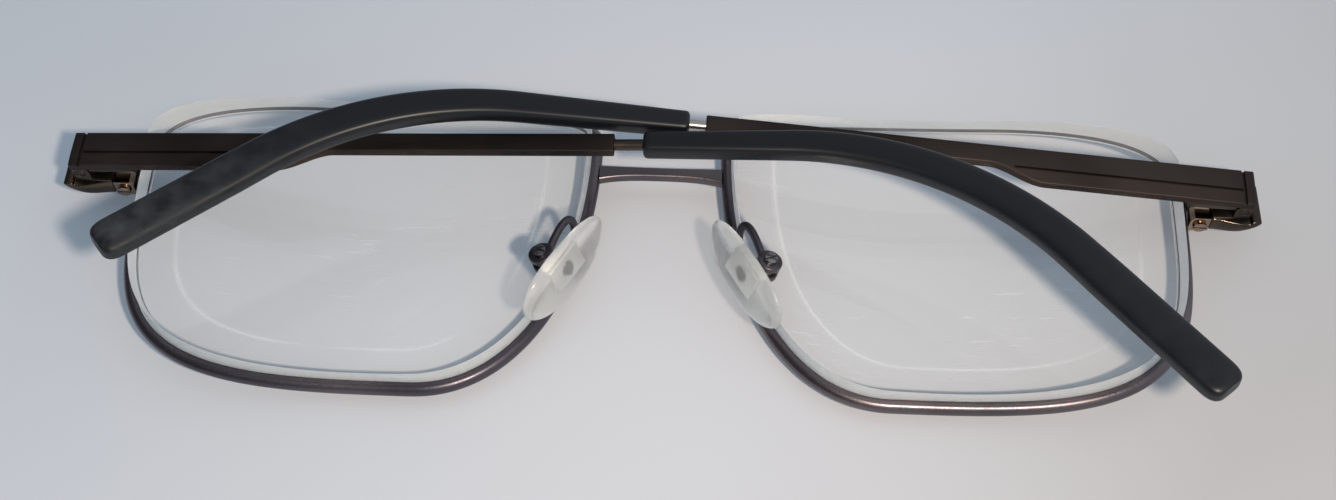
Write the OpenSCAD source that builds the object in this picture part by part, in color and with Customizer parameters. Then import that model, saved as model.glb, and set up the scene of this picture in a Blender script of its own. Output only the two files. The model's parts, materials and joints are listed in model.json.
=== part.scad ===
// Metal full-rim eyeglasses, folded and lying face down on the fronts of their lenses.
// +X is to the right as seen from behind the wearer's head, +Y is towards the brow, +Z is towards the face.
// The origin is the middle of the bottom of the bounding box.

/* [Lenses] */
// Lens width, measured to the bevel
lens_w = 56; // [50:0.5:62]
// Lens height, measured to the bevel
lens_h = 40.3; // [36:0.1:46]
// Distance between the lenses
bridge_gap = 17; // [14:0.5:22]
// Height of the widest point on the temple side, above the lens centre
wide_temple_y = 10.5; // [9:0.5:14]
// Height of the widest point on the nose side, above the lens centre
wide_nose_y = 15.5; // [12:0.5:16.5]
// How far the highest point lies from the lens centre, towards the temple
top_x = 3.5; // [-4:0.5:10]
// How far the lowest point lies from the lens centre, towards the temple
low_x = -8; // [-12:0.5:2]
// Radius of the lens front surface
front_r = 170; // [120:5:300]
// Radius of the lens rear surface
rear_r = 76; // [72:1:110]
// Lens thickness at its centre
lens_t = 1.8; // [1.2:0.1:2.6]
// Turn of each lens round towards the temple, in degrees
wrap = 1.5; // [0:0.25:2.5]
// Depth of the bevel apex behind the lens front
bevel_back = 0.7; // [0.6:0.05:1]
// Half width of the bevel at its foot
bevel_half = 0.45; // [0.35:0.05:0.5]

/* [Rims] */
// Width of the rim wire, square to the lens edge
rim_w = 1.35; // [1.2:0.05:1.8]
// Depth of the rim wire, front to back
rim_d = 1.9; // [1.7:0.1:2.4]
// Depth of the groove that holds the lens bevel
groove = 0.4; // [0.3:0.05:0.5]
// Gap where the rim closes
rim_slit = 0.3; // [0.2:0.05:0.6]

/* [Bridge] */
// Height of the bridge bar's centre above the lens centre
bridge_y = 11.2; // [8:0.2:14]
// Height of the bar at its middle
bridge_h = 1.5; // [1.2:0.1:2.4]
// Height of the bar where it meets the rims
bridge_end_h = 2.2; // [1.8:0.1:3]
// Thickness of the bar, front to back
bridge_t = 1.4; // [1:0.1:1.8]

/* [End pieces] */
// How far an end piece reaches past the lens
lug_reach = 9.5; // [9:0.1:11]
// Height of the hinge's middle above the lens centre
hinge_y = 7.25; // [5:0.25:8.5]
// Height of the end piece at the hinge
end_h = 5.6; // [5.2:0.1:7]
// Height of the end piece and of the closing block at the rim
end_root_h = 4.2; // [3.6:0.1:5]
// Thickness of the end piece beside the hinge
end_t = 1.2; // [1:0.05:1.25]
// Width of the closing block, from the rim to the end piece
block_w = 2.5; // [2.2:0.1:3]
// Depth of the closing block, front to back
block_d = 2.5; // [2.2:0.1:3]
// Radius of the closing screw's shank
block_pin_r = 0.5; // [0.4:0.05:0.65]
// Radius of the closing screw's head
block_head_r = 0.85; // [0.75:0.05:1]

/* [Hinges] */
// How far the pin lies below the lens's rear edge
pin_sink = 0.9; // [0:0.1:0.95]
// Distance from the pin to the outside of the temple
pin_in = 2.4; // [2.35:0.05:3]
// Radius of the knuckles
knuckle_r = 1.1; // [0.9:0.05:1.1]
// Length of all three knuckles together
hinge_len = 4.1; // [3.4:0.1:4.6]
// Radius of the hinge screw's shank
pin_r = 0.55; // [0.4:0.05:0.65]
// Radius of the hinge screw's head
screw_head_r = 0.95; // [0.8:0.05:1.05]
// Radial running clearance on every screw
run = 0.03; // [0.02:0.01:0.06]
// Gap beside each knuckle
side_gap = 0.05; // [0.04:0.01:0.1]
// Thickness of the hinge leaf on the end piece
front_leaf_t = 0.35; // [0.25:0.05:0.5]
// Thickness of the hinge leaf on the temple
leaf_t = 0.8; // [0.6:0.05:0.85]
// Length of the hinge leaf on the temple
leaf_len = 6; // [4:0.5:9]

/* [Temples] */
// Length of the metal bar from the pin
bar_len = 66.5; // [60:0.5:72]
// Height of the bar past its stepped strip
bar_h = 2.6; // [2:0.1:3.2]
// Height of the bar beside the hinge
bar_root_h = 4.9; // [4.5:0.1:5.2]
// Thickness of the bar
bar_t = 1.25; // [1:0.05:1.25]
// Length of the stepped lower strip
step_len = 32; // [20:1:45]
// Width of the grooves in the bar's face
line_w = 0.3; // [0.2:0.05:0.5]
// Depth of the grooves in the bar's face
line_d = 0.3; // [0.15:0.05:0.4]
// How far the bar starts past the pin
bar_back = 0.85; // [0.5:0.05:0.9]
// Distance of the upright groove from the bar's start
end_line_in = 1.2; // [1:0.1:3]
// Radius of the core wire
core_r = 0.7; // [0.5:0.05:0.8]
// Height of the tip where it starts
tip_h0 = 2.9; // [2.6:0.1:3.2]
// Height of the tip at its end
tip_h1 = 4.9; // [3.8:0.1:5.2]
// Thickness of the tip
tip_t = 2.7; // [2.4:0.1:2.9]
// Length of the left temple along its curve, from the pin
left_len = 148; // [135:0.5:155]
// Length of the right temple along its curve, from the pin
right_len = 142.5; // [135:0.5:155]
// Radius of the bend behind the ear
bend_r = 44; // [30:1:60]
// Length of bare core wire between the left bar and its tip
left_neck = 3.5; // [2:0.5:6]
// Length of bare core wire between the right bar and its tip
right_neck = 2; // [2:0.5:6]
// Straight length of the left tip before its bend
left_straight = 17.5; // [15:0.5:30]
// Straight length of the right tip before its bend
right_straight = 20.5; // [18:0.5:32]
// Angle of the left bend
left_bend = 49; // [30:1:50]
// Angle of the right bend
right_bend = 42; // [30:1:50]
// Slant of the folded left temple, towards the chin
left_slant = -0.95; // [-1.2:0.05:-0.8]
// Slant of the folded right temple, towards the brow
right_slant = 1.84; // [1.7:0.02:2]
// Rise of each folded temple off the lenses, in degrees
fold_rise = 4.3; // [3.6:0.1:4.4]

/* [Nose pads] */
// Length of a pad
pad_len = 16; // [12:0.5:17]
// Width of a pad
pad_w = 7.2; // [6:0.2:8]
// Thickness of a pad
pad_t = 2.4; // [2:0.1:2.8]
// Tilt of the pads, seen from the front
pad_tilt = 30; // [24:1:34]
// Splay of the pads towards the face
pad_splay = 18; // [10:1:30]
// How far the pad screw lies inside the lens's nose side
pad_in = 1.9; // [1.7:0.1:3.5]
// Height of the pad screw above the lens centre
pad_y = -4.9; // [-6:0.1:-3]
// Height of the pad screw above the lens's rear surface
pad_lift = 2.4; // [1.9:0.1:3.5]
// Distance from the pad screw to the middle of the pad
pad_out = 3.6; // [3.5:0.1:4.5]
// How far the pad's middle lies below the screw
pad_drop = 0.1; // [0:0.1:2]
// Radius of the pad box
box_r = 1.55; // [1.4:0.05:1.7]
// Length of the pad box along its screw
box_len = 2.5; // [2.2:0.1:3]
// Radius of the pad screw's shank
pad_pin_r = 0.4; // [0.3:0.05:0.5]
// Thickness of the insert's tab inside the box
tab_t = 0.9; // [0.7:0.05:1.1]
// Radius of the pad arm wire
arm_r = 0.5; // [0.4:0.05:0.6]

/* [Hidden] */
$fn = 48;
frame_colour = [0.23, 0.2, 0.19];
bar_colour = [0.2, 0.18, 0.17];
steel = [0.55, 0.54, 0.53];
tip_colour = [0.11, 0.12, 0.14];
clear = [0.8, 0.85, 0.88, 0.5];
pad_colour = [0.82, 0.82, 0.76];

// Longer than any bore or cut is deep
deep = 20;
// Width of the screwdriver slots
slot_w = 0.25;
slot_d = 0.25;
head_h = 0.5;

// Lens frame: x towards the temple and y towards the brow, from the lens centre
half_a = lens_w / 2;
half_b = lens_h / 2;
lens_cx = (lens_w + bridge_gap) / 2;
// Exponents of the four quarters of the outline
upper_temple_n = 2.2;
upper_nose_n = 2.4;
lower_nose_n = 2.16;
lower_temple_n = 4.25;
quarter_steps = 17;
bevel_clear = 0.05;
lens_lip = 0.07;

// Sag of a sphere of radius r at the point x, y
function sag(r, x, y) = r - sqrt(r * r - x * x - y * y);
function front_z(x, y) = sag(front_r, x, y) + x * tan(wrap);
function bevel_z(x, y) = front_z(x, y) + bevel_back;
function rear_z(x, y) = lens_t + sag(rear_r, x, y) + x * tan(wrap);
// One point of a quarter of the outline: its centre, half widths, exponent, signs and angle
function quarter(cx, cy, a, b, n, sx, sy, t) =
    [cx + sx * a * pow(cos(t), 2 / n), cy + sy * b * pow(sin(t), 2 / n)];
// Where the outline is at height y, on its temple side and on its nose side
function temple_side_x(y) = low_x + (half_a - low_x)
    * pow(1 - pow((wide_temple_y - y) / (half_b + wide_temple_y), lower_temple_n), 1 / lower_temple_n);
function nose_side_x(y) = low_x - (half_a + low_x)
    * pow(1 - pow((wide_nose_y - y) / (half_b + wide_nose_y), lower_nose_n), 1 / lower_nose_n);

// The outline starts above the rim's slit, passes the brow, nose and chin, and ends below the slit
slit_hi = hinge_y + rim_slit / 2;
slit_lo = hinge_y - rim_slit / 2;
steps = [0:quarter_steps - 1];
rising = [for (i = steps) 90 * i / quarter_steps];
falling = [for (i = steps) 90 - 90 * i / quarter_steps];
eye = [
    [temple_side_x(slit_hi), slit_hi],
    for (t = rising) quarter(top_x, wide_temple_y, half_a - top_x, half_b - wide_temple_y, upper_temple_n, 1, 1, t),
    for (t = falling) quarter(top_x, wide_nose_y, half_a + top_x, half_b - wide_nose_y, upper_nose_n, -1, 1, t),
    for (t = rising) quarter(low_x, wide_nose_y, half_a + low_x, half_b + wide_nose_y, lower_nose_n, -1, -1, t),
    for (t = falling) quarter(low_x, wide_temple_y, half_a - low_x, half_b + wide_temple_y, lower_temple_n, 1, -1, t),
    [temple_side_x(slit_lo), slit_lo]];
count = len(eye);
// Outward direction at each point of the outline
out = [for (i = [0:count - 1]) let (d = eye[(i + 1) % count] - eye[(i + count - 1) % count])
    [d[1], -d[0]] / norm(d)];
// A point of the outline moved outwards by n
function eye_at(i, n) = eye[i] + n * out[i];

// Closing block between the rim and the end piece
rim_out = rim_w - groove + bevel_clear;
rim_in = bevel_clear - groove;
seat_gap = 0.05;
block_x = lens_cx + temple_side_x(hinge_y) + rim_out + seat_gap;
block_z = bevel_z(temple_side_x(hinge_y), hinge_y) - 0.37 * rim_d;
block_half = end_root_h / 2;
end_x = block_x + block_w + seat_gap;
half_w = lens_cx + half_a + lug_reach;

// Hinge pin, and the temple's layers outwards from it
pin_x = half_w - pin_in;
pin_z = rear_z(temple_side_x(hinge_y), hinge_y) - pin_sink;
knuckle_clear = 0.2;
end_seat = pin_z - knuckle_r - knuckle_clear - front_leaf_t;
butt_gap = 0.3;
end_back = pin_z - bar_back - butt_gap;
middle_len = hinge_len * 0.36;
outer_len = (hinge_len - middle_len) / 2;
bar_start = -bar_back;
end_line_at = bar_start + end_line_in;
leaf_gap = 0.15;
bar_in = pin_in - bar_t;
bar_off = 0.1;
bar_top = bar_root_h / 2 + bar_off;
core_v = bar_top - bar_h / 2;
core_w = pin_in - bar_t / 2;

// Tip: its round ends, the square look of its section and the wall past the core wire's end
sleeve_clear = 0.05;
core_end_wall = 6;
core_end_gap = 2;
section_n = 12;
tip_square = 3.6;
round_end = 3;
round_start = 0.5;
round_power = 3.6;
start_pinch = 0.12;
thin_share = 0.3;
full_h_at = 0.77;
tip_rings = 18;
end_shares = [0.55, 0.22, 0.04];

// Nose pad
pad_x = lens_cx + nose_side_x(pad_y) + pad_in;
pad_z = rear_z(pad_x - lens_cx, pad_y) + pad_lift;
tab_gap = 0.05;
insert_t = 0.5;
insert_h = 5.2;
insert_w = 3;
plate_x = pad_out - pad_t / 2 + 0.35;
pad_rings = 12;
pad_sides = 14;
pad_power = 2.2;
pad_taper = 0.12;
pad_curl = 0.5;
nose_bulge = 1.1;
back_bulge = 0.8;

// Triangles over a flat ring of n points that starts at index o, all meeting in its second point. A
// ring with a notch has the notch's foot there
function cap(o, n) = [for (j = [2:n - 1]) [o + 1, o + j, o + (j + 1) % n]];
function cap_back(o, n) = [for (j = [2:n - 1]) [o + 1, o + (j + 1) % n, o + j]];

// Solid through a list of closed rings, with flat ends
module loft(rings) {
    n = len(rings[0]);
    m = len(rings);
    polyhedron([for (r = rings) each r], [
        for (i = [0:m - 2], j = [0:n - 1]) let (k = (j + 1) % n) each
            [[i * n + j, (i + 1) * n + j, i * n + k], [i * n + k, (i + 1) * n + j, (i + 1) * n + k]],
        each cap(0, n),
        each cap_back((m - 1) * n, n)]);
}

// Loft with a blind bore: both lists of rings start at the open end
module loft_bored(rings, bore) {
    n = len(rings[0]);
    m = len(rings);
    q = len(bore);
    o = m * n;
    polyhedron([for (r = rings) each r, for (r = bore) each r], [
        for (i = [0:m - 2], j = [0:n - 1]) let (k = (j + 1) % n) each
            [[i * n + j, (i + 1) * n + j, i * n + k], [i * n + k, (i + 1) * n + j, (i + 1) * n + k]],
        for (i = [0:q - 2], j = [0:n - 1]) let (k = (j + 1) % n) each
            [[o + i * n + j, o + i * n + k, o + (i + 1) * n + j],
            [o + i * n + k, o + (i + 1) * n + k, o + (i + 1) * n + j]],
        for (j = [0:n - 1]) let (k = (j + 1) % n) each [[j, k, o + j], [k, o + k, o + j]],
        each cap_back((m - 1) * n, n),
        each cap(o + (q - 1) * n, n)]);
}

// Section of the rim wire: outwards from the lens edge, and towards the face. The lens side has a
// V groove for the bevel, and the outer side is half an ellipse
groove_half = bevel_half + bevel_clear;
lip_round = 0.15;
wire_mid = 0.1;
rim_ring = [[rim_in, -groove_half], [bevel_clear, 0], [rim_in, groove_half], [rim_in, rim_d / 2 - lip_round],
    for (q = [90:-30:-90]) [wire_mid + (rim_out - wire_mid) * cos(q), rim_d / 2 * sin(q)],
    [rim_in, lip_round - rim_d / 2]];
module rim() color(frame_colour) loft([for (i = [0:count - 1]) [for (p = rim_ring)
    let (c = eye_at(i, p[0])) [lens_cx + c[0], c[1], bevel_z(eye[i][0], eye[i][1]) + p[1]]]]);

// Lens: rings across the front, over the bevel and back across the rear
lens_edge = rim_in - lens_lip;
lens_shares = [0.38, 0.72];
function front_ring(share) = [for (i = [0:count - 1]) let (c = share * eye_at(i, lens_edge))
    [lens_cx + c[0], c[1], front_z(c[0], c[1])]];
function rear_ring(share) = [for (i = [0:count - 1]) let (c = share * eye_at(i, lens_edge))
    [lens_cx + c[0], c[1], rear_z(c[0], c[1])]];
function bevel_ring(n, rise) = [for (i = [0:count - 1]) let (c = eye_at(i, n))
    [lens_cx + c[0], c[1], bevel_z(eye[i][0], eye[i][1]) + rise]];
lens_rings = [front_ring(lens_shares[0]), front_ring(lens_shares[1]), front_ring(1),
    bevel_ring(lens_edge, -bevel_half), bevel_ring(0, 0), bevel_ring(lens_edge, bevel_half),
    rear_ring(1), rear_ring(lens_shares[1]), rear_ring(lens_shares[0])];
module lens() color(clear) {
    n = count;
    m = len(lens_rings);
    front = m * n;
    rear = front + 1;
    polyhedron([for (r = lens_rings) each r, [lens_cx, 0, front_z(0, 0)], [lens_cx, 0, rear_z(0, 0)]], [
        for (i = [0:m - 2], j = [0:n - 1]) let (k = (j + 1) % n) each
            [[i * n + j, (i + 1) * n + j, i * n + k], [i * n + k, (i + 1) * n + j, (i + 1) * n + k]],
        for (j = [0:n - 1]) [front, j, (j + 1) % n],
        for (j = [0:n - 1]) [rear, (m - 1) * n + (j + 1) % n, (m - 1) * n + j]]);
}

// Bridge: a bar with a nearly straight top and an arched lower edge, brazed to both rims
bridge_seat = 0.15;
bridge_crown = 0.1;
bridge_steps = 8;
bridge_x = lens_cx + nose_side_x(bridge_y) - rim_out + bridge_seat;
module bridge() color(frame_colour)
    translate([0, bridge_y, bevel_z(nose_side_x(bridge_y), bridge_y) - bridge_t / 2])
        linear_extrude(bridge_t)
            polygon([
                for (i = [-bridge_steps:bridge_steps]) let (t = i / bridge_steps)
                    [t * bridge_x, bridge_h / 2 + bridge_crown * t * t],
                for (i = [bridge_steps:-1:-bridge_steps]) let (t = i / bridge_steps)
                    [t * bridge_x, -bridge_h / 2 - (bridge_end_h - bridge_h) * pow(abs(t), 3)]]);

// End piece: seen from the brow its outside is a quarter of a superellipse that turns from the lens
// plane back to the hinge, and the hinge's leaf is seated inside it
lug_power = 1.8;
lug_steps = 10;
lug_z = block_z + 0.3;
function lug_side(t) = [end_x + (half_w - end_x) * pow(sin(t), 2 / lug_power),
    end_back - (end_back - lug_z) * pow(cos(t), 2 / lug_power)];
function lug_half(x) = let (t = min((x - end_x) / (half_w - end_x) * 1.5, 1))
    (end_root_h + (end_h - end_root_h) * t * t * (3 - 2 * t)) / 2;
lug_xs = [for (i = [0:lug_steps]) end_x + (half_w - end_x) * i / lug_steps];
module end_piece() color(frame_colour) intersection() {
    translate([0, hinge_y + deep / 2, 0])
        rotate([90, 0, 0])
            linear_extrude(deep)
                polygon([
                    for (i = [0:lug_steps]) lug_side(90 * i / lug_steps),
                    [half_w - end_t, end_back],
                    [half_w - end_t, end_seat],
                    [end_x, end_seat]]);
    translate([0, hinge_y, 0])
        linear_extrude(deep)
            polygon([
                for (x = lug_xs) [x, -lug_half(x)],
                for (i = [lug_steps:-1:0]) [lug_xs[i], lug_half(lug_xs[i])]]);
}

// Closing block: each half is brazed to one end of the rim, and the screw draws them together
block_chamfer = 0.5;
module on_block() translate([block_x + block_w / 2, hinge_y, block_z + block_d / 2]) rotate([90, 0, 0]) children();
module block(low, high) color(frame_colour) difference() {
    translate([block_x, high, block_z])
        rotate([90, 0, 0])
            linear_extrude(high - low)
                polygon([[0, 0], [block_w, 0], [block_w, block_d], [block_chamfer, block_d],
                    [0, block_d - block_chamfer]]);
    on_block() cylinder(r = block_pin_r + run, h = deep, center = true);
}
module block_upper() block(slit_hi, hinge_y + block_half);
module block_lower() block(hinge_y - block_half, slit_lo);
module block_screw() color(steel) on_block() difference() {
    union() {
        cylinder(r = block_pin_r, h = 2 * block_half, center = true);
        translate([0, 0, block_half]) cylinder(r = block_head_r, h = head_h);
    }
    translate([-block_head_r, -slot_w / 2, block_half + head_h - slot_d]) cube([2 * block_head_r, slot_w, head_h]);
}

// Hinge: a leaf with two knuckles on the end piece, a leaf with one on the temple, and a screw
module on_pin() translate([pin_x, hinge_y, pin_z]) rotate([90, 0, 0]) children();
module hinge_front() color(steel) difference() {
    union() {
        for (s = [-1, 1]) translate([0, s * (middle_len + outer_len) / 2, 0]) {
            on_pin() cylinder(r = knuckle_r, h = outer_len, center = true);
            translate([pin_x - knuckle_r, hinge_y - outer_len / 2, end_seat])
                cube([2 * knuckle_r, outer_len, pin_z - end_seat]);
        }
        translate([end_x + seat_gap, hinge_y - hinge_len / 2, end_seat])
            cube([pin_x + knuckle_r - end_x - seat_gap, hinge_len, front_leaf_t]);
    }
    on_pin() cylinder(r = pin_r + run, h = deep, center = true);
}
module hinge_screw() color(steel) on_pin() difference() {
    union() {
        cylinder(r = pin_r, h = hinge_len, center = true);
        translate([0, 0, -hinge_len / 2 - head_h]) cylinder(r = screw_head_r, h = head_h);
    }
    translate([-screw_head_r, -slot_w / 2, -hinge_len / 2 - 2 * head_h + slot_d])
        cube([2 * screw_head_r, slot_w, head_h]);
}

// Temple frame, right side: x runs along the folded temple, y towards the brow and z outwards from
// the head, from the middle of the pin
module fold(slant) translate([pin_x, hinge_y, pin_z]) rotate([0, fold_rise, 0]) mirror([1, 0, 0])
    rotate([0, 0, slant]) children();
module hinge_temple() color(steel) fold(0) difference() {
    union() {
        rotate([90, 0, 0]) cylinder(r = knuckle_r, h = middle_len - 2 * side_gap, center = true);
        translate([0, side_gap - middle_len / 2, bar_in - leaf_t])
            cube([knuckle_r + 2 * leaf_gap, middle_len - 2 * side_gap, leaf_t]);
        translate([knuckle_r + leaf_gap, -hinge_len / 2, bar_in - leaf_t]) cube([leaf_len, hinge_len, leaf_t]);
    }
    rotate([90, 0, 0]) cylinder(r = pin_r + run, h = deep, center = true);
}

// Lower edge of the bar: level along the stepped strip, then up in a smooth curve
rise_share = 0.22;
rise_steps = 10;
function bar_low(x) = let (t = min(max((x / step_len - 1 + rise_share) / rise_share, 0), 1))
    bar_top - bar_root_h + (bar_root_h - bar_h) * t * t * (3 - 2 * t);
line_y = bar_top - bar_root_h * 0.61;
module temple_bar(slant) color(bar_colour) fold(slant) difference() {
    translate([0, 0, bar_in])
        linear_extrude(bar_t)
            polygon([
                [bar_start, bar_top],
                [bar_start, bar_low(0)],
                for (i = [0:rise_steps]) let (x = step_len * (1 - rise_share + rise_share * i / rise_steps))
                    [x, bar_low(x)],
                [bar_len, bar_low(bar_len)],
                [bar_len, bar_top]]);
    translate([end_line_at, line_y - line_w / 2, pin_in - line_d]) cube([step_len - end_line_at, line_w, deep]);
    translate([end_line_at, -bar_root_h, pin_in - line_d]) cube([line_w, 2 * bar_root_h, deep]);
}

// Centre line of a tip at distance s along the temple: straight, then an arc, then straight again
function bend_angle(s, at, bend) = min(max((s - at) / bend_r * 180 / PI, 0), bend);
function past_bend(s, at, bend) = max(s - at - bend_r * bend * PI / 180, 0);
function bend_x(s, at, bend) =
    min(s, at) + bend_r * sin(bend_angle(s, at, bend)) + past_bend(s, at, bend) * cos(bend);
function bend_y(s, at, bend) =
    -bend_r * (1 - cos(bend_angle(s, at, bend))) - past_bend(s, at, bend) * sin(bend);
// Superellipse section of height h and thickness t, square to the centre line
function power(c, n) = sign(c) * pow(abs(c), 2 / n);
function section(s, h, t, n, at, bend) = let (a = bend_angle(s, at, bend)) [for (i = [0:section_n - 1])
    let (q = -360 * (i + 0.5) / section_n, y = power(sin(q), n) * h / 2, z = power(cos(q), n) * t / 2)
    [bend_x(s, at, bend) + y * sin(a), core_v + bend_y(s, at, bend) + y * cos(a), core_w + z]];
// Share of the full section, which shrinks at the two ends of the tip
function tip_share(s, start, end) = let (e = max(round_end - (end - s), 0) / round_end,
    b = max(round_start - (s - start), 0) / round_start)
    pow(1 - pow(e, round_power), 1 / round_power) * (1 - start_pinch * b * b);
function tip_h(s, start, end) = tip_h0 + (tip_h1 - tip_h0) * min(1, (s - start) / (end - start) / full_h_at);
function tip_ring(s, start, end, at, bend) = let (k = tip_share(s, start, end))
    section(s, tip_h(s, start, end) * k, tip_t * (thin_share + (1 - thin_share) * k), tip_square, at, bend);
function tip_stations(start, end) = [start, start + round_start,
    for (i = [1:tip_rings]) start + round_start + (end - start - round_start - round_end) * i / tip_rings,
    for (share = end_shares) end - round_end * share];
function wire_ring(s, r, at, bend) = section(s, 2 * r, 2 * r, 2, at, bend);
module temple_tip(slant, start, end, straight, bend) color(tip_colour) fold(slant) let (at = start + straight)
    loft_bored(
        [for (s = tip_stations(start, end)) tip_ring(s, start, end, at, bend)],
        [for (s = tip_stations(start, end)) if (s < end - core_end_wall)
            wire_ring(s, core_r + sleeve_clear, at, bend)]);
module core_wire(slant, start, end, straight, bend) color(steel) fold(slant) let (at = start + straight)
    loft([
        wire_ring(bar_len, core_r, at, bend),
        for (s = tip_stations(start, end)) if (s < end - core_end_wall - core_end_gap)
            wire_ring(s, core_r, at, bend)]);
left_start = bar_len + left_neck;
right_start = bar_len + right_neck;

// Nose pad frame, left side: x towards the nose, y up along the pad and z along the pad screw
module on_pad() translate([-pad_x, pad_y, pad_z]) rotate([0, 0, -pad_tilt]) rotate([0, -pad_splay, 0]) children();
pad_head_r = 2 * pad_pin_r;
module pad_box() color(frame_colour) on_pad() difference() {
    cylinder(r = box_r, h = box_len, center = true);
    translate([-0.7 * box_r, -deep / 2, -tab_t / 2 - tab_gap]) cube([deep, deep, tab_t + 2 * tab_gap]);
    cylinder(r = pad_pin_r + run, h = deep, center = true);
}
module pad_screw() color(steel) on_pad() difference() {
    union() {
        cylinder(r = pad_pin_r, h = box_len, center = true);
        translate([0, 0, box_len / 2]) cylinder(r = pad_head_r, h = head_h);
    }
    translate([-pad_head_r, -slot_w / 2, box_len / 2 + head_h - slot_d]) cube([2 * pad_head_r, slot_w, head_h]);
}
tab_h = box_r;
module pad_insert() color(steel) on_pad() difference() {
    union() {
        cylinder(r = 0.62 * box_r, h = tab_t, center = true);
        translate([0, -tab_h / 2, -tab_t / 2]) cube([plate_x, tab_h, tab_t]);
        translate([plate_x, -pad_drop - insert_h / 2, -insert_w / 2]) cube([insert_t, insert_h, insert_w]);
    }
    cylinder(r = pad_pin_r + run, h = deep, center = true);
}
// The pad is a soft lozenge: full in the middle, narrower at the top, curled in at both ends
function pad_full(t) = sqrt(1 - pow(abs(t), pad_power));
function pad_ring(t) = [for (i = [0:pad_sides - 1]) let (q = 360 * i / pad_sides)
    [pad_out + pad_t / 2 * pad_full(t) * cos(q) * (cos(q) > 0 ? nose_bulge : back_bulge) - pad_curl * t * t,
    -pad_drop + t * pad_len / 2, pad_w / 2 * pad_full(t) * (1 - pad_taper * t) * sin(q)]];
module nose_pad() color(pad_colour) on_pad() difference() {
    loft([for (i = [pad_rings:-1:0]) pad_ring(0.99 * sin(180 * i / pad_rings - 90))]);
    translate([plate_x - pad_t, -pad_drop - insert_h / 2 - tab_gap, -insert_w / 2 - tab_gap])
        cube([insert_t + pad_t + tab_gap, insert_h + 2 * tab_gap, insert_w + 2 * tab_gap]);
}

// Pad arm: a wire from the back of the rim, up in a loop and down to the pad box
arm_root_y = -3;
arm_steps = 16;
arm_sides = 8;
arm_root = [-lens_cx - nose_side_x(arm_root_y) + 0.5, arm_root_y,
    bevel_z(nose_side_x(arm_root_y), arm_root_y) + 0.42 * rim_d];
arm_end = [0.5 * (box_r + 0.3) - pad_x - 0.4, pad_y + 0.6 * (box_r + 0.3), pad_z];
arm_ctrl = [arm_root, arm_root + [1.1, 2.5, 4.2], arm_end + [2.6, 8, 1.6], arm_end];
function bezier(c, t) = pow(1 - t, 3) * c[0] + 3 * t * pow(1 - t, 2) * c[1] + 3 * t * t * (1 - t) * c[2]
    + t * t * t * c[3];
function bezier_way(c, t) = pow(1 - t, 2) * (c[1] - c[0]) + 2 * t * (1 - t) * (c[2] - c[1]) + t * t * (c[3] - c[2]);
function unit(v) = v / norm(v);
// The loop lies near the plane of its control points, so that plane's normal keeps the rings from twisting
arm_side = unit(cross(arm_ctrl[1] - arm_ctrl[0], arm_ctrl[3] - arm_ctrl[0]));
module pad_arm() color(frame_colour) loft([for (i = [0:arm_steps]) let (
    t = i / arm_steps,
    way = unit(bezier_way(arm_ctrl, t)),
    a = unit(cross(arm_side, way)),
    b = cross(way, a))
    [for (j = [0:arm_sides - 1]) let (q = 360 * j / arm_sides)
        bezier(arm_ctrl, t) + arm_r * (cos(q) * a + sin(q) * b)]]);

// Middle of the bounding box: the rims' tops and the lowest point of the left tip
high_y = max([for (i = [0:count - 1]) eye_at(i, rim_out)[1]]);
low_y = hinge_y + min([for (s = tip_stations(left_start, left_len))
    for (p = tip_ring(s, left_start, left_len, left_start + left_straight, left_bend))
        p[0] * sin(left_slant) + p[1] * cos(left_slant)]);
mid_y = (low_y + high_y) / 2;

module left() mirror([1, 0, 0]) children();
module placed() translate([0, -mid_y, 0]) children();

placed() left() rim();  // left_rim
placed() rim();  // right_rim
placed() left() lens();  // left_lens
placed() lens();  // right_lens
placed() bridge();
placed() left() end_piece();  // left_end_piece
placed() end_piece();  // right_end_piece
placed() left() block_upper();  // left_block_upper
placed() block_upper();  // right_block_upper
placed() left() block_lower();  // left_block_lower
placed() block_lower();  // right_block_lower
placed() left() block_screw();  // left_block_screw
placed() block_screw();  // right_block_screw
placed() left() hinge_front();  // left_hinge_front
placed() hinge_front();  // right_hinge_front
placed() left() hinge_temple();  // left_hinge_temple
placed() hinge_temple();  // right_hinge_temple
placed() left() hinge_screw();  // left_hinge_screw
placed() hinge_screw();  // right_hinge_screw
placed() left() temple_bar(left_slant);  // left_temple_bar
placed() temple_bar(right_slant);  // right_temple_bar
placed() left() core_wire(left_slant, left_start, left_len, left_straight, left_bend);  // left_core_wire
placed() core_wire(right_slant, right_start, right_len, right_straight, right_bend);  // right_core_wire
placed() left() temple_tip(left_slant, left_start, left_len, left_straight, left_bend);  // left_tip
placed() temple_tip(right_slant, right_start, right_len, right_straight, right_bend);  // right_tip
placed() pad_arm();  // left_pad_arm
placed() left() pad_arm();  // right_pad_arm
placed() pad_box();  // left_pad_box
placed() left() pad_box();  // right_pad_box
placed() pad_screw();  // left_pad_screw
placed() left() pad_screw();  // right_pad_screw
placed() pad_insert();  // left_pad_insert
placed() left() pad_insert();  // right_pad_insert
placed() nose_pad();  // left_nose_pad
placed() left() nose_pad();  // right_nose_pad
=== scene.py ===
"""Looks of the folded metal eyeglasses, built around the packed model.

Laid out as an add-on, and run as a script. Every length is in metres, in the packed model's frame: +X to the
right as seen from behind the wearer's head, +Y towards the brow, +Z towards the face.
"""

import json

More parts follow.
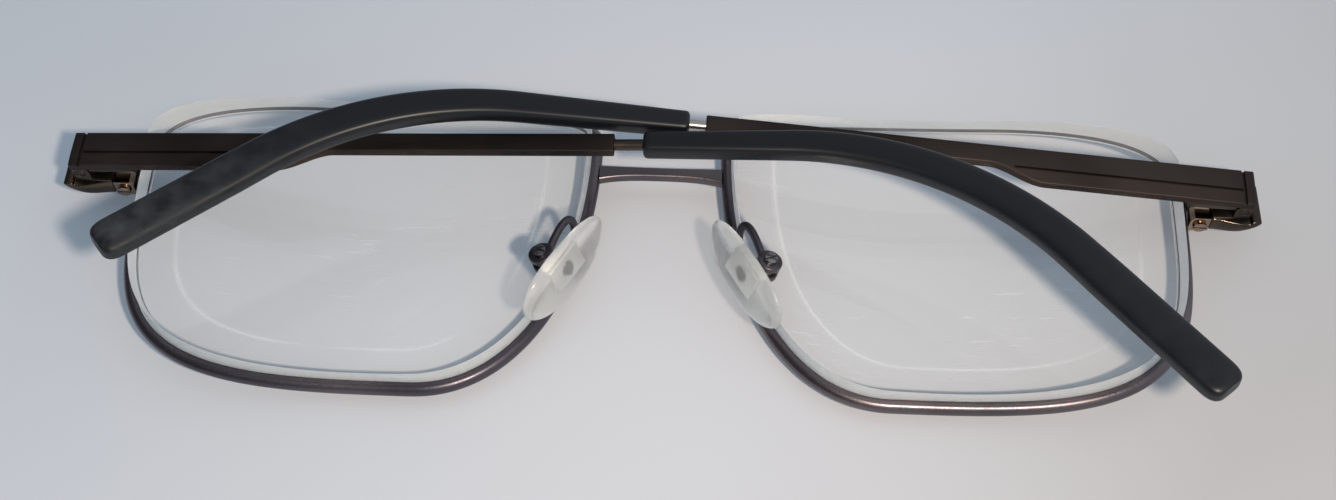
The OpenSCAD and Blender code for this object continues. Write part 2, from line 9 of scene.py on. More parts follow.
import bmesh
import bpy
import numpy as np
from mathutils import Matrix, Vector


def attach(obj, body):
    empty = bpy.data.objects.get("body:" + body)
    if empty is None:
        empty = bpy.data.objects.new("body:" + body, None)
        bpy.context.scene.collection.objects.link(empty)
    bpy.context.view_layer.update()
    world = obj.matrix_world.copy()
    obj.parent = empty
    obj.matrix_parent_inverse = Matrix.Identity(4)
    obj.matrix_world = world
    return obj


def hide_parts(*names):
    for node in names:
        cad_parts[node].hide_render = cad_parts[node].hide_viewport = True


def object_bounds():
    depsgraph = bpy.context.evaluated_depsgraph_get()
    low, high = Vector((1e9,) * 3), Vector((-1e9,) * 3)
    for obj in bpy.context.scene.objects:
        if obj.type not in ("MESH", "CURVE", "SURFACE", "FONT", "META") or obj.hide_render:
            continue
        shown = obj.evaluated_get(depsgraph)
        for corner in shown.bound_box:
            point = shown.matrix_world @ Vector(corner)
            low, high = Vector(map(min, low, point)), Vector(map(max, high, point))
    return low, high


bl_info = {
    "name": "Folded Metal Eyeglasses",
    "version": (1, 0, 0),
    "blender": (4, 5, 0),
    "location": "3D View > Sidebar > Eyeglasses",
    "description": "Builds the visible pieces of a pair of folded metal eyeglasses and their stage",
    "category": "Object",
}

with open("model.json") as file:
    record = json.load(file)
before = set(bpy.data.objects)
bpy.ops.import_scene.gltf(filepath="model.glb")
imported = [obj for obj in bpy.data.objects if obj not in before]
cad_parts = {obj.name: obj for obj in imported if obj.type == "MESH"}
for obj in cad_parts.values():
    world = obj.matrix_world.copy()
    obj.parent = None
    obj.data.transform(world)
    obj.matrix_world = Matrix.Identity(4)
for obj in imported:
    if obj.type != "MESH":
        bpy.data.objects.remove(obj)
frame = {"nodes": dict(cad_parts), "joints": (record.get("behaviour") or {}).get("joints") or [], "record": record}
CAD_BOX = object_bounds()
JOINTS = {joint["name"]: joint for joint in frame["joints"]}

MM = 0.001
SIDES = {"left": -1, "right": 1}

# Edges that turn by less are smooth, faces that turn by less are one flat face, and closer points are one
CURVED_EDGE = np.radians(32)
FLAT = np.radians(0.6)
WELD = 1e-6


# Sizes and colours that a user may change

def length(name, description, mm):
    """A length property, given in millimetres and kept in metres."""
    return bpy.props.FloatProperty(
        name=name, description=description, default=mm * MM, unit="LENGTH", precision=5)


def turn(name, description, degrees):
    """An angle property, given in degrees."""
    return bpy.props.FloatProperty(
        name=name, description=description, default=float(np.radians(degrees)), subtype="ANGLE")


def number(name, description, value):
    """A plain number property."""
    return bpy.props.FloatProperty(name=name, description=description, default=value)


def colour(name, description, rgb):
    """A colour property."""
    return bpy.props.FloatVectorProperty(
        name=name, description=description, default=rgb, subtype="COLOR", size=3, min=0, max=1)


def spot(name, description, metres):
    """A place in space, in metres."""
    return bpy.props.FloatVectorProperty(
        name=name, description=description, default=metres, subtype="TRANSLATION")


class FrontSizes(bpy.types.PropertyGroup):
    """Lenses, rims and bridge"""

    lens_w: length("Lens width", "Width to the bevel", 56)
    lens_h: length("Lens height", "Height to the bevel", 40.3)
    bridge_gap: length("Bridge width", "Distance between the lenses", 17)
    wide_temple_y: length("Widest point, temple side", "Height above the lens centre", 10.5)
    wide_nose_y: length("Widest point, nose side", "Height above the lens centre", 15.5)
    top_x: length("Highest point", "Offset from the lens centre to the temple side", 3.5)
    low_x: length("Lowest point", "Offset from the lens centre to the temple side", -8)
    front_r: length("Front radius", "Radius of a lens's front", 170)
    rear_r: length("Rear radius", "Radius of a lens's rear", 76)
    lens_t: length("Lens middle", "Thickness at its centre", 1.8)
    wrap: turn("Wrap", "Turn of each lens round towards the temple", 1.5)
    bevel_back: length("Bevel depth", "Depth behind the lens front", 0.7)
    bevel_half: length("Bevel half width", "Half width at its foot", 0.45)
    bevel_clear: length("Bevel clearance", "Gap between bevel and groove", 0.05)
    lens_lip: length("Lens inset", "Lens edge inside the rim wire", 0.07)
    rim_w: length("Rim width", "Width square to the lens edge", 1.35)
    rim_d: length("Rim depth", "Depth, front to back", 1.9)
    groove: length("Rim groove", "Depth that holds the bevel", 0.4)
    rim_slit: length("Rim slit", "Gap where the rim closes", 0.3)
    hinge_y: length("Hinge height", "Height above the lens centre", 7.25)
    bridge_y: length("Bridge height", "Height above the lens centre", 11.2)
    bridge_h: length("Bridge bar", "Height at its middle", 1.5)
    bridge_end_h: length("Bridge bar's end", "Height at the rims", 2.2)
    bridge_t: length("Bridge thickness", "Thickness, front to back", 1.4)


class TempleSizes(bpy.types.PropertyGroup):
    """Temple bars, core wires and tips"""

    pin_in: length("Pin depth", "From the hinge pin to the temple's outside", 2.4)
    bar_start: length("Bar start", "Start along the temple, from the pin", -0.85)
    bar_len: length("Bar length", "Length from the pin", 66.5)
    bar_h: length("Bar height", "Height past its stepped strip", 2.6)
    bar_root_h: length("Bar root", "Height beside the hinge", 4.9)
    bar_off: length("Bar offset", "Middle of the bar above the pin's", 0.1)
    bar_t: length("Bar thickness", "Thickness of the bar", 1.25)
    step_len: length("Strip length", "Length of the stepped strip", 32)
    line_w: length("Groove width", "Width of the bar's grooves", 0.3)
    line_d: length("Groove depth", "Depth of the bar's grooves", 0.3)
    end_line_at: length("Upright groove", "Distance from the pin", 0.35)
    core_r: length("Core wire radius", "Radius of the core wire", 0.7)
    left_len: length("Left length", "Length along its curve, from the pin", 148)
    right_len: length("Right length", "Length along its curve, from the pin", 142.5)
    tip_h0: length("Tip start", "Height where it starts", 2.9)
    tip_h1: length("Tip end", "Height at its end", 4.9)
    tip_t: length("Tip thickness", "Thickness of the tip", 2.7)
    bend_r: length("Bend radius", "Radius of the bend behind the ear", 44)
    left_neck: length("Left neck", "Bare core wire between bar and tip", 3.5)
    right_neck: length("Right neck", "Bare core wire between bar and tip", 2)
    left_straight: length("Left straight", "Straight length before the bend", 17.5)
    right_straight: length("Right straight", "Straight length before the bend", 20.5)
    left_bend: turn("Left bend", "Angle of the left bend", 49)
    right_bend: turn("Right bend", "Angle of the right bend", 42)
    left_slant: turn("Left slant", "Slant of the folded left temple", -0.95)
    right_slant: turn("Right slant", "Slant of the folded right temple", 1.84)
    fold_rise: turn("Rise", "Rise of each folded temple off the lenses", 4.3)


class PadSizes(bpy.types.PropertyGroup):
    """Nose pads and pad arms"""

    pad_len: length("Pad length", "Length of a pad", 16)
    pad_w: length("Pad width", "Width of a pad", 7.2)
    pad_t: length("Pad thickness", "Thickness of a pad", 2.4)
    pad_tilt: turn("Pad tilt", "Tilt, seen from the front", 30)
    pad_splay: turn("Pad splay", "Splay towards the face", 18)
    pad_out: length("Pad distance", "From the pad screw to the pad's middle", 3.6)
    pad_drop: length("Pad drop", "Pad's middle below the screw", 0.1)
    box_r: length("Pad box radius", "Radius of the pad box", 1.55)
    arm_r: length("Pad arm radius", "Radius of the pad arm wire", 0.5)
    arm_root_y: length("Pad arm root", "Height above the lens centre", -3)


class Finishes(bpy.types.PropertyGroup):
    """Colours of the metals, the plastics and the glass"""

    rim_dark: colour("Plating", "Dark plating of rims, bridge and fittings", (0.102, 0.094, 0.110))
    rim_worn: colour("Worn plating", "Coppery metal where the plating is thin", (0.25, 0.21, 0.215))
    bar_dark: colour("Temple bars", "Brown plating of the temple bars", (0.043, 0.034, 0.031))
    bar_light: colour("Temple bars, light", "Lighter streaks of the temple bars", (0.088, 0.069, 0.061))
    steel: colour("Steel", "Screws, hinges and core wires", (0.58, 0.55, 0.53))
    steel_stained: colour("Stained steel", "Brown film on the steel", (0.20, 0.155, 0.125))
    steel_dark: colour("Dark steel", "Darkened steel of the hinges", (0.060, 0.048, 0.042))
    bare_brass: colour("Bare brass", "Brass where the plating has worn through", (0.86, 0.60, 0.36))
    nickel: colour("Nickel", "Pale plates inside the nose pads", (0.76, 0.76, 0.74))
    screw: colour("Screws", "Dark steel of the screw heads", (0.30, 0.29, 0.29))
    tip: colour("Tips", "Satin plastic of the tips", (0.0055, 0.0065, 0.0095))
    tip_bloom: colour("Tip bloom", "Grey bloom on the end of a tip", (0.047, 0.053, 0.056))
    glass: colour("Lenses", "Tint of the lenses", (0.985, 0.99, 0.99))
    glass_edge: colour("Lens edge", "Ground edge of the lenses", (0.97, 0.98, 0.96))
    pad: colour("Pads", "Soft clear plastic of the nose pads", (0.99, 0.985, 0.96))
    floor: colour("Floor", "Pale table under the glasses", (0.65, 0.66, 0.69))
    # Painted pool of light: a paler colour laid on the middle of the table
    floor_painted_glow: colour("Floor, middle", "Paler middle of the table", (0.73, 0.72, 0.74))
    floor_warm: colour("Floor, warm", "Warmer, greyer side of the table", (0.52, 0.505, 0.505))


class StageSizes(bpy.types.PropertyGroup):
    """Camera and light"""

    camera_at: spot("Camera", "Place of the camera", (0.00608, -0.11793, 0.19294))
    elevation: turn("Elevation", "Angle above the table", 57.575)
    azimuth: turn("Azimuth", "Turn round the object", 2.246)
    roll: turn("Roll", "Turn about its own axis", 0.05)
    focal: number("Focal length", "Focal length in millimetres", 49.161)
    floor_half: length("Floor", "Half width of the table", 900)
    key_at: spot("Key light place", "Place of the key light, beside the camera", (0.065, -0.148, 0.228))
    key_power: number("Key light", "Power of the key light in watts", 2.04)
    key_size: length("Key light size", "Radius of the key light", 11)
    key_colour: colour("Key light colour", "Colour of the key light", (1.0, 0.855, 0.71))
    sky_colour: colour("Sky light colour", "Colour of light from all round", (0.38, 0.47, 0.56))
    backdrop_dim: colour("Backdrop, dim side", "Colour in gloss from the left", (0.10, 0.105, 0.115))
    backdrop: colour("Backdrop", "Colour seen beyond the table", (0.56, 0.59, 0.62))


# Meshes

def grid_faces(rows, across):
    """Quads between neighbouring closed rows of a grid: (i, j), (i, j+1), (i+1, j+1), (i+1, j)."""
    i = np.arange(rows - 1)[:, None]
    j = np.arange(across)[None, :]
    k = (j + 1) % across
    quads = np.stack([i * across + j + 0 * k, i * across + k, (i + 1) * across + k, (i + 1) * across + j], -1)
    return quads.reshape(-1, 4)


def closed_tube(rings, poles=()):
    """Vertices and faces of a solid through closed rings: quads between the rings, and one flat face on each
    end. With two poles, triangles join each end's ring to its own pole instead."""
    rows, across = rings.shape[:2]
    verts = rings.reshape(-1, 3)
    faces = grid_faces(rows, across).tolist()
    first = np.arange(across)
    last = (rows - 1) * across + first
    if len(poles):
        verts = np.concatenate([verts, poles])
        pole = np.full(across, rows * across)
        faces += np.stack([pole, np.roll(first, -1), first], -1).tolist()
        faces += np.stack([pole + 1, last, np.roll(last, -1)], -1).tolist()
    else:
        faces += [first[::-1].tolist(), last.tolist()]
    return verts, faces


def signed_volume(verts, faces):
    """Sum of a . (b x c) over each face's fan of triangles: positive where faces point outwards."""
    total = 0.0
    for size in set(map(len, faces)):
        f = np.array([face for face in faces if len(face) == size])
        a, b, c = verts[f[:, :1]], verts[f[:, 1:-1]], verts[f[:, 2:]]
        total += float((a * np.cross(b, c)).sum())
    return total


def solid(name, verts, faces, finishes, body, replaces=(), face_finishes=None, attributes=None):
    """A visible piece from arrays of vertices and faces, turned so that its faces point outwards."""
    if signed_volume(verts - verts.mean(0), faces) < 0:
        faces = [face[::-1] for face in faces]
    mesh = bpy.data.meshes.new(name)
    mesh.from_pydata(verts.tolist(), [], faces)
    for finish in finishes:
        mesh.materials.append(finish_for(finish))
    if face_finishes is not None:
        mesh.polygons.foreach_set("material_index", face_finishes)
    for key, values in (attributes or {}).items():
        mesh.attributes.new(key, "FLOAT", "POINT").data.foreach_set("value", np.asarray(values, np.float32))
    mesh.polygons.foreach_set("use_smooth", [True] * len(faces))
    mesh.set_sharp_from_angle(angle=CURVED_EDGE)
    mesh.validate()
    piece = bpy.data.objects.new(name, mesh)
    bpy.context.scene.collection.objects.link(piece)
    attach(piece, body)
    if replaces:
        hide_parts(*replaces)


def mirrored(points, side):
    """Points built for the right side, moved to the side asked for."""
    return points * np.array([side, 1.0, 1.0])


# Shape of the front

def sag(radius, x, y):
    """Depth of a sphere below its pole at x, y: r - sqrt(r^2 - x^2 - y^2)."""
    return radius - np.sqrt(radius ** 2 - x ** 2 - y ** 2)


def front_z(s, x, y):
    """Front surface of a lens: a sphere, tilted round towards the temple."""
    return sag(s.front_r, x, y) + x * np.tan(s.wrap)


def bevel_z(s, x, y):
    """The bevel follows the front surface, a fixed depth behind it."""
    return front_z(s, x, y) + s.bevel_back


def rear_z(s, x, y):
    """Rear surface of a lens: a steeper sphere, tilted as the front one is."""
    return s.lens_t + sag(s.rear_r, x, y) + x * np.tan(s.wrap)


# Powers of the outline's four quarters
UPPER_TEMPLE, UPPER_NOSE, LOWER_NOSE, LOWER_TEMPLE = 2.2, 2.4, 2.16, 4.25

OUTLINE_POINTS = 480
ROUGH_STEPS = 1200


def outline(s):
    """Lens outline and its outward directions, in the lens frame. Each quarter is a superellipse,
    x = a cos(t)^(2/n) and y = b sin(t)^(2/n), and the whole is cut into equal steps. It starts above the
    rim's slit and ends below it."""
    a, b = s.lens_w / 2, s.lens_h / 2
    quarters = [
        (s.top_x, s.wide_temple_y, a - s.top_x, b - s.wide_temple_y, UPPER_TEMPLE, False),
        (s.top_x, s.wide_nose_y, -a - s.top_x, b - s.wide_nose_y, UPPER_NOSE, True),
        (s.low_x, s.wide_nose_y, -a - s.low_x, -b - s.wide_nose_y, LOWER_NOSE, False),
        (s.low_x, s.wide_temple_y, a - s.low_x, -b - s.wide_temple_y, LOWER_TEMPLE, True)]
    parts = []
    for cx, cy, half_w, half_h, power, backwards in quarters:
        t = np.linspace(0, np.pi / 2, ROUGH_STEPS, endpoint=False)
        t = np.pi / 2 - t if backwards else t
        part = np.stack([np.cos(t).clip(0) ** (2 / power), np.sin(t).clip(0) ** (2 / power)], -1)
        parts.append(np.array([cx, cy]) + part * [half_w, half_h])
    rough = np.concatenate(parts)
    high, low = s.hinge_y + s.rim_slit / 2, s.hinge_y - s.rim_slit / 2
    ends = [[temple_side_x(s, high), high], [temple_side_x(s, low), low]]
    below = (rough[:, 0] > 0) & (rough[:, 1] < low) | (np.arange(len(rough)) < 3 * ROUGH_STEPS)
    rough = np.concatenate([ends[:1], rough[below], ends[1:]])
    walked = np.append(0, np.cumsum(np.linalg.norm(np.diff(rough, axis=0), axis=1)))
    at = np.linspace(0, walked[-1], OUTLINE_POINTS)
    eye = np.stack([np.interp(at, walked, rough[:, k]) for k in (0, 1)], -1)
    along = np.roll(eye, -1, 0) - np.roll(eye, 1, 0)
    out = np.stack([along[:, 1], -along[:, 0]], -1)
    return eye, out / np.linalg.norm(out, axis=1)[:, None]


def temple_side_x(s, y):
    """Where the outline is at height y below its widest point, on the temple side."""
    share = (s.wide_temple_y - y) / (s.lens_h / 2 + s.wide_temple_y)
    return s.low_x + (s.lens_w / 2 - s.low_x) * (1 - share ** LOWER_TEMPLE) ** (1 / LOWER_TEMPLE)


def nose_side_x(s, y):
    """Where the outline is at height y below its widest point, on the nose side."""
    share = (s.wide_nose_y - y) / (s.lens_h / 2 + s.wide_nose_y)
    return s.low_x - (s.lens_w / 2 + s.low_x) * (1 - share ** LOWER_NOSE) ** (1 / LOWER_NOSE)


def front_place(s):
    """Lens centre of the right side in the packed frame: the rims' tops meet the packed model's high edge."""
    eye, out = outline(s)
    top = (eye + out * rim_out(s))[:, 1].max()
    return np.array([(s.lens_w + s.bridge_gap) / 2, CAD_BOX[1].y - top, 0])


def rim_out(s):
    """How far the rim wire reaches outside the bevel."""
    return s.rim_w - s.groove + s.bevel_clear


def rim_in(s):
    """How far the rim wire starts inside the bevel, as a negative length."""
    return s.bevel_clear - s.groove


# Shape of the temples

def temple_frame(side):
    """Place of the hinge pin on the right side, the shared sizes, and the sizes of one temple alone."""
    s = bpy.context.scene.eyeglass_temples
    pin = np.array(JOINTS[f"{side}_fold"]["pos_m"]) * [SIDES[side], 1, 1]
    return pin, s, {key: getattr(s, f"{side}_{key}") for key in ("slant", "neck", "straight", "bend", "len")}


def folded(side, points):
    """Points in temple coordinates, along, up and outwards from the pin, at their place in the packed frame:
    slanted about the outward axis, mirrored, raised off the lenses and moved to the pin."""
    pin, s, temple = temple_frame(side)
    along, up, out = np.moveaxis(points, -1, 0)
    c, d = np.cos(temple["slant"]), np.sin(temple["slant"])
    along, up = along * c - up * d, along * d + up * c
    c, d = np.cos(s.fold_rise), np.sin(s.fold_rise)
    placed = np.stack([-along * c + out * d, up, along * d + out * c], -1) + pin
    return mirrored(placed, SIDES[side])


def bent(along, up, out, temple, s):
    """Points at a distance along a temple, and up and out from its centre line. The centre line is straight,
    then an arc of the bend radius, then straight again, and up stays square to it."""
    at = s.bar_len + temple["neck"] + temple["straight"]
    angle = np.clip((along - at) / s.bend_r, 0, temple["bend"])
    past = np.maximum(along - at - s.bend_r * temple["bend"], 0)
    x = np.minimum(along, at) + s.bend_r * np.sin(angle) + past * np.cos(angle)
    y = -s.bend_r * (1 - np.cos(angle)) - past * np.sin(angle)
    middle = s.bar_root_h / 2 + s.bar_off - s.bar_h / 2
    depth = s.pin_in - s.bar_t / 2
    return np.stack([x + up * np.sin(angle), middle + y + up * np.cos(angle), depth + out + 0 * x], -1)


def superellipse(count, power):
    """Closed ring of half size 1: cos and sin of the angle, each raised to 2/n with its sign kept."""
    q = (np.arange(count) + 0.5) * 2 * np.pi / count
    c, d = np.cos(q), np.sin(q)
    return np.sign(c) * np.abs(c) ** (2 / power), np.sign(d) * np.abs(d) ** (2 / power)


def rounded_rings(low, high, near, far, corner, steps=4):
    """Rings of a rectangle with quarter round corners, one for each value of an edge. They run from the low
    near corner to the low far one, then to the high far and the high near one."""
    low, high, near, far = np.broadcast_arrays(low, high, near, far)
    low, high, near, far = low + corner, high - corner, near + corner, far - corner
    quarter = np.linspace(0, np.pi / 2, steps + 1)
    rings = []
    for v, w, turns in ((low, near, 2), (low, far, 3), (high, far, 0), (high, near, 1)):
        angle = turns * np.pi / 2 + quarter
        rings.append(np.stack([v[:, None] + corner * np.sin(angle), w[:, None] + corner * np.cos(angle)], -1))
    return rings


# Materials

# Where a Mix node has its two colours and their mix
MIX_COLOURS = slice(6, 8)
MIXED_COLOUR = 2

SLOW_MOTTLE = 55
BRUSH_DEPTH = 1.5e-6
# Place, half width and strength of the painted pale ring that stands in for the reflection inside a lens's edge
PAINTED_RING_AT, PAINTED_RING_HALF, PAINTED_RING_STRENGTH = 0.81, 0.022, 0.38
SCRATCH_STRENGTH = 0.4
HAZE = 0.05
TAB_NEAR, TAB_FAR, TAB_RAGGED = 0.8 * MM, 1.15 * MM, 0.25 * MM


def join(tree, value, socket):
    """A value set on a socket, or another socket linked to it."""
    if isinstance(value, bpy.types.NodeSocket):
        tree.links.new(value, socket)
    else:
        socket.default_value = value


def place_node(tree, kind, inputs=(), **settings):
    """A shader node with its settings made and its inputs joined."""
    made = tree.nodes.new("ShaderNode" + kind)
    for key, value in settings.items():
        setattr(made, key, value)
    for key, value in dict(inputs).items():
        join(tree, value, made.inputs[key])
    return made


def new_finish(name, surface):
    """A material with its tree and its Principled shader, whose plain sockets are set."""
    material = bpy.data.materials.new(name)
    material.use_nodes = True
    tree = material.node_tree
    shader = tree.nodes["Principled BSDF"]
    for key, value in surface.items():
        shader.inputs[key].default_value = value
    return material, tree, shader


def on_object(tree, scale=1, turned=0.0):
    """Object coordinates scaled by one number, or by one for each axis, and turned about Z."""
    coordinates = place_node(tree, "TexCoord")
    return place_node(tree, "Mapping", {
        "Vector": coordinates.outputs["Object"], "Scale": np.broadcast_to(scale, 3).tolist(),
        "Rotation": (0, 0, turned)}).outputs["Vector"]


def noise(tree, scale, detail=3.0, turned=0.0):
    """Noise with a feature size that follows the scale, in cells for each metre."""
    return place_node(tree, "TexNoise", {
        "Vector": on_object(tree, scale, turned), "Scale": 1.0, "Detail": detail}).outputs["Fac"]


def spread(tree, value, low, high, to_low=0.0, to_high=1.0):
    """A value taken from one range to another, and held at its ends."""
    return place_node(tree, "MapRange", {
        "Value": value, "From Min": low, "From Max": high,
        "To Min": to_low, "To Max": to_high}).outputs["Result"]


def times(tree, a, b, how="MULTIPLY"):
    """Two values multiplied, or joined in another way."""
    return place_node(tree, "Math", {0: a, 1: b}, operation=how).outputs["Value"]


def named(tree, name):
    """The value of one of the mesh's own attributes."""
    return place_node(tree, "Attribute", attribute_name=name).outputs["Fac"]


def blend_colours(tree, share, first, second):
    """Two colours mixed by a share."""
    mix = place_node(tree, "Mix", {"Factor": share}, data_type="RGBA")
    for socket, value in zip(mix.inputs[MIX_COLOURS], (first, second)):
        join(tree, value if isinstance(value, bpy.types.NodeSocket) else (*value, 1), socket)
    return mix.outputs[MIXED_COLOUR]


def grain(tree, shader, height, depth, strength):
    """Height of that depth in metres on the shader's normal."""
    bump = place_node(tree, "Bump", {"Height": height, "Distance": depth, "Strength": strength})
    join(tree, bump.outputs["Normal"], shader.inputs["Normal"])


def paint(tree, shader, tone, roughness):
    """The shader's colour and roughness."""
    join(tree, tone, shader.inputs["Base Color"])
    join(tree, roughness, shader.inputs["Roughness"])


def plated_metal(finishes, name, dark, light, rough, brushed, streaks):
    """Plated metal: the plating's dark and light colours follow brush lines and a slow mottle, and fine brush
    lines and specks vary the gloss and the surface."""
    material, tree, shader = new_finish(name, {"Metallic": 1.0, "IOR": 1.6})
    lines = noise(tree, brushed, 4)
    mottle = spread(tree, noise(tree, SLOW_MOTTLE, 2), 0.4, 0.7)
    wear = times(tree, spread(tree, lines, 0.2, 0.8, 0.7, 1.0), mottle)
    tone = blend_colours(
        tree, times(tree, wear, streaks), getattr(finishes, dark), getattr(finishes, light))
    paint(tree, shader, tone, spread(tree, lines, 0.3, 0.7, rough - 0.06, rough + 0.1))
    grain(tree, shader, noise(tree, brushed, 2), BRUSH_DEPTH, 0.4)
    return material


def satin_plastic(finishes):
    """Dark satin plastic with a grey bloom that grows towards the end, and fine scratches."""
    material, tree, shader = new_finish("satin_plastic", {"IOR": 1.5, "Specular IOR Level": 0.36})
    clouds = spread(tree, noise(tree, 340, 7), 0.34, 0.72)
    scratches = spread(tree, noise(tree, (300, 5200, 900), 2, 0.6), 0.66, 0.74)
    share = times(tree, times(tree, clouds, named(tree, "bloom")), times(tree, scratches, 0.06), "ADD")
    tone = blend_colours(tree, share, finishes.tip, finishes.tip_bloom)
    paint(tree, shader, tone, spread(tree, share, 0, 0.5, 0.35, 0.7))
    grain(tree, shader, noise(tree, 2600), 6e-6, 0.35)
    return material


def pass_light(tree, shader, tint):
    """Light for other surfaces passes this one straight, because thin clear glass hardly shades."""
    path = place_node(tree, "LightPath").outputs
    lit = times(tree, path["Is Shadow Ray"], path["Is Diffuse Ray"], "MAXIMUM")
    clear = place_node(tree, "BsdfTransparent", {"Color": (*tint, 1)})
    mix = place_node(tree, "MixShader", {0: lit, 1: shader.outputs[0], 2: clear.outputs[0]})
    join(tree, mix.outputs[0], tree.nodes["Material Output"].inputs["Surface"])


def lens_glass(finishes):
    """Clear lens with faint wipe marks in its gloss, a few short scratches, and a painted pale ring inside its
    edge that stands in for the reflection a strong lens shows there."""
    material, tree, shader = new_finish("lens_glass", {
        "Base Color": (*finishes.glass, 1), "Transmission Weight": 1.0, "IOR": 1.53})
    wipes = spread(tree, noise(tree, (90, 700, 500), 4, 0.5), 0.5, 0.8)
    join(tree, spread(tree, wipes, 0, 1, 0.0, 0.035), shader.inputs["Roughness"])
    patchy = noise(tree, 70, 1)
    # Painted reflection: a pale ring at one share of the way out on the rear surface, broken up by slow patches
    off_painted_ring = times(tree, times(tree, named(tree, "reach"), PAINTED_RING_AT, "SUBTRACT"), 0.0, "ABSOLUTE")
    ring = times(tree, spread(tree, off_painted_ring, 0.0, PAINTED_RING_HALF, 1, 0), spread(tree, patchy, 0.3, 0.55))
    rising = spread(tree, noise(tree, (130, 2600, 130), 1, -0.42), 0.71, 0.75)
    falling = spread(tree, noise(tree, (190, 3000, 190), 1, 0.25), 0.71, 0.75)
    rubbed = spread(tree, noise(tree, 70, 0), 0.55, 0.68)
    marks = times(tree, times(tree, rising, falling, "MAXIMUM"), rubbed)
    # Scratches and the painted reflection ring, with a faint haze everywhere, turn the glass milky white
    pale = times(tree, times(tree, ring, PAINTED_RING_STRENGTH), times(tree, marks, SCRATCH_STRENGTH), "MAXIMUM")
    pale = times(tree, pale, HAZE, "MAXIMUM")
    milky = place_node(tree, "BsdfDiffuse", {"Color": (0.95, 0.95, 0.95, 1)})
    marks_and_painted_ring = place_node(tree, "MixShader", {0: pale, 1: shader.outputs[0], 2: milky.outputs[0]})
    pass_light(tree, marks_and_painted_ring, (0.99, 0.99, 0.99))
    return material


def ground_glass(finishes):
    """Ground edge of a lens: pale and frosted, with fine grinding marks."""
    material, tree, shader = new_finish("ground_lens_edge", {"Transmission Weight": 0.35, "IOR": 1.53})
    marks = noise(tree, (1500, 1500, 4200))
    pale = tuple(0.9 * c for c in finishes.glass_edge)
    tone = blend_colours(tree, spread(tree, marks, 0.3, 0.7), pale, finishes.glass_edge)
    paint(tree, shader, tone, spread(tree, marks, 0.3, 0.7, 0.3, 0.5))
    grain(tree, shader, marks, 1e-5, 0.3)
    pass_light(tree, shader, (0.97, 0.98, 0.98))
    return material


def soft_clear(finishes):
    """Soft clear plastic, clouded inside, with a matte skin."""
    material, tree, shader = new_finish("soft_clear_plastic", {
        "Transmission Weight": 0.78, "IOR": 1.41, "Specular IOR Level": 0.5})
    clouds = spread(tree, noise(tree, 420, 4), 0.38, 0.62)
    dull = tuple(0.88 * c for c in finishes.pad)
    tone = blend_colours(tree, clouds, dull, finishes.pad)
    paint(tree, shader, tone, spread(tree, clouds, 0, 1, 0.14, 0.26))
    grain(tree, shader, noise(tree, 500, 1), 1e-5, 0.1)
    pass_light(tree, shader, (0.8, 0.8, 0.79))
    return material


def insert_plate(finishes, side):
    """Pale nickel plate that darkens round the root of its tab."""
    material, tree, shader = new_finish(f"{side}_insert_plate", {"Metallic": 1.0})
    away = place_node(tree, "VectorMath", {0: on_object(tree), 1: insert_middle(side)}, operation="DISTANCE")
    clouds = spread(tree, noise(tree, 900), 0.3, 0.7, -TAB_RAGGED, TAB_RAGGED)
    tab = spread(tree, times(tree, away.outputs["Value"], clouds, "ADD"), TAB_NEAR, TAB_FAR, 1, 0)
    tone = blend_colours(tree, tab, finishes.nickel, finishes.rim_dark)
    paint(tree, shader, tone, spread(tree, clouds, 0, 1, 0.4, 0.5))
    return material


def pale_table(finishes):
    """Pale smooth table that turns warmer and greyer towards the right, with a painted pool of light in the
    middle, slow patches and a fine tooth."""
    material, tree, shader = new_finish("pale_table", {"Roughness": 0.55, "Specular IOR Level": 0.25})
    place = place_node(tree, "SeparateXYZ", {"Vector": on_object(tree)}).outputs
    across = times(tree, place["X"], times(tree, place["Y"], 0.8), "SUBTRACT")
    patches = spread(tree, noise(tree, (9, 12, 9), 2), 0.35, 0.65, -0.08, 0.08)
    warm = times(tree, spread(tree, across, 0.0, 0.09), patches, "ADD")
    away = place_node(tree, "VectorMath", {0: on_object(tree)}, operation="LENGTH")
    # Painted pool of light: paler within a few centimetres of the middle
    middle = spread(tree, away.outputs["Value"], 0.008, 0.07, 0.8, 0)
    tone = blend_colours(tree, warm, finishes.floor, finishes.floor_warm)
    join(tree, blend_colours(tree, middle, tone, finishes.floor_painted_glow), shader.inputs["Base Color"])
    grain(tree, shader, noise(tree, 900), 1e-5, 0.2)
    return material


# Name, dark colour, light colour, roughness, brush lines' cells for each metre, share of light colour
METALS = {
    "plating": ("dark_plating", "rim_dark", "rim_worn", 0.32, 4200, 0.7),
    "bar": ("brown_plating", "bar_dark", "bar_light", 0.54, (60, 3200, 3200), 0.9),
    "steel": ("bare_steel", "steel", "steel_stained", 0.24, 4500, 0.5),
    "core": ("stained_steel", "steel_dark", "steel_stained", 0.32, (400, 900, 900), 0.6),
    "brass": ("worn_through", "rim_dark", "bare_brass", 0.13, 500, 1.0),
    "bronze": ("worn_bronze", "steel_dark", "bare_brass", 0.18, 600, 0.28),
    "screw": ("screw_steel", "screw", "steel", 0.2, 3000, 0.25),
}
OTHER_FINISHES = {
    "left_insert": lambda finishes: insert_plate(finishes, "left"),
    "right_insert": lambda finishes: insert_plate(finishes, "right"),
    "tip": satin_plastic,
    "glass": lens_glass,
    "glass_edge": ground_glass,
    "pad": soft_clear,
    "table": pale_table,
}
MADE_FINISHES = {}


def finish_for(key):
    """The material of one finish, made when it is first asked for."""
    if key not in MADE_FINISHES:
        finishes = bpy.context.scene.eyeglass_finishes
        MADE_FINISHES[key] = (
            plated_metal(finishes, *METALS[key]) if key in METALS else OTHER_FINISHES[key](finishes))
    return MADE_FINISHES[key]


# Operators, one for each group of like pieces

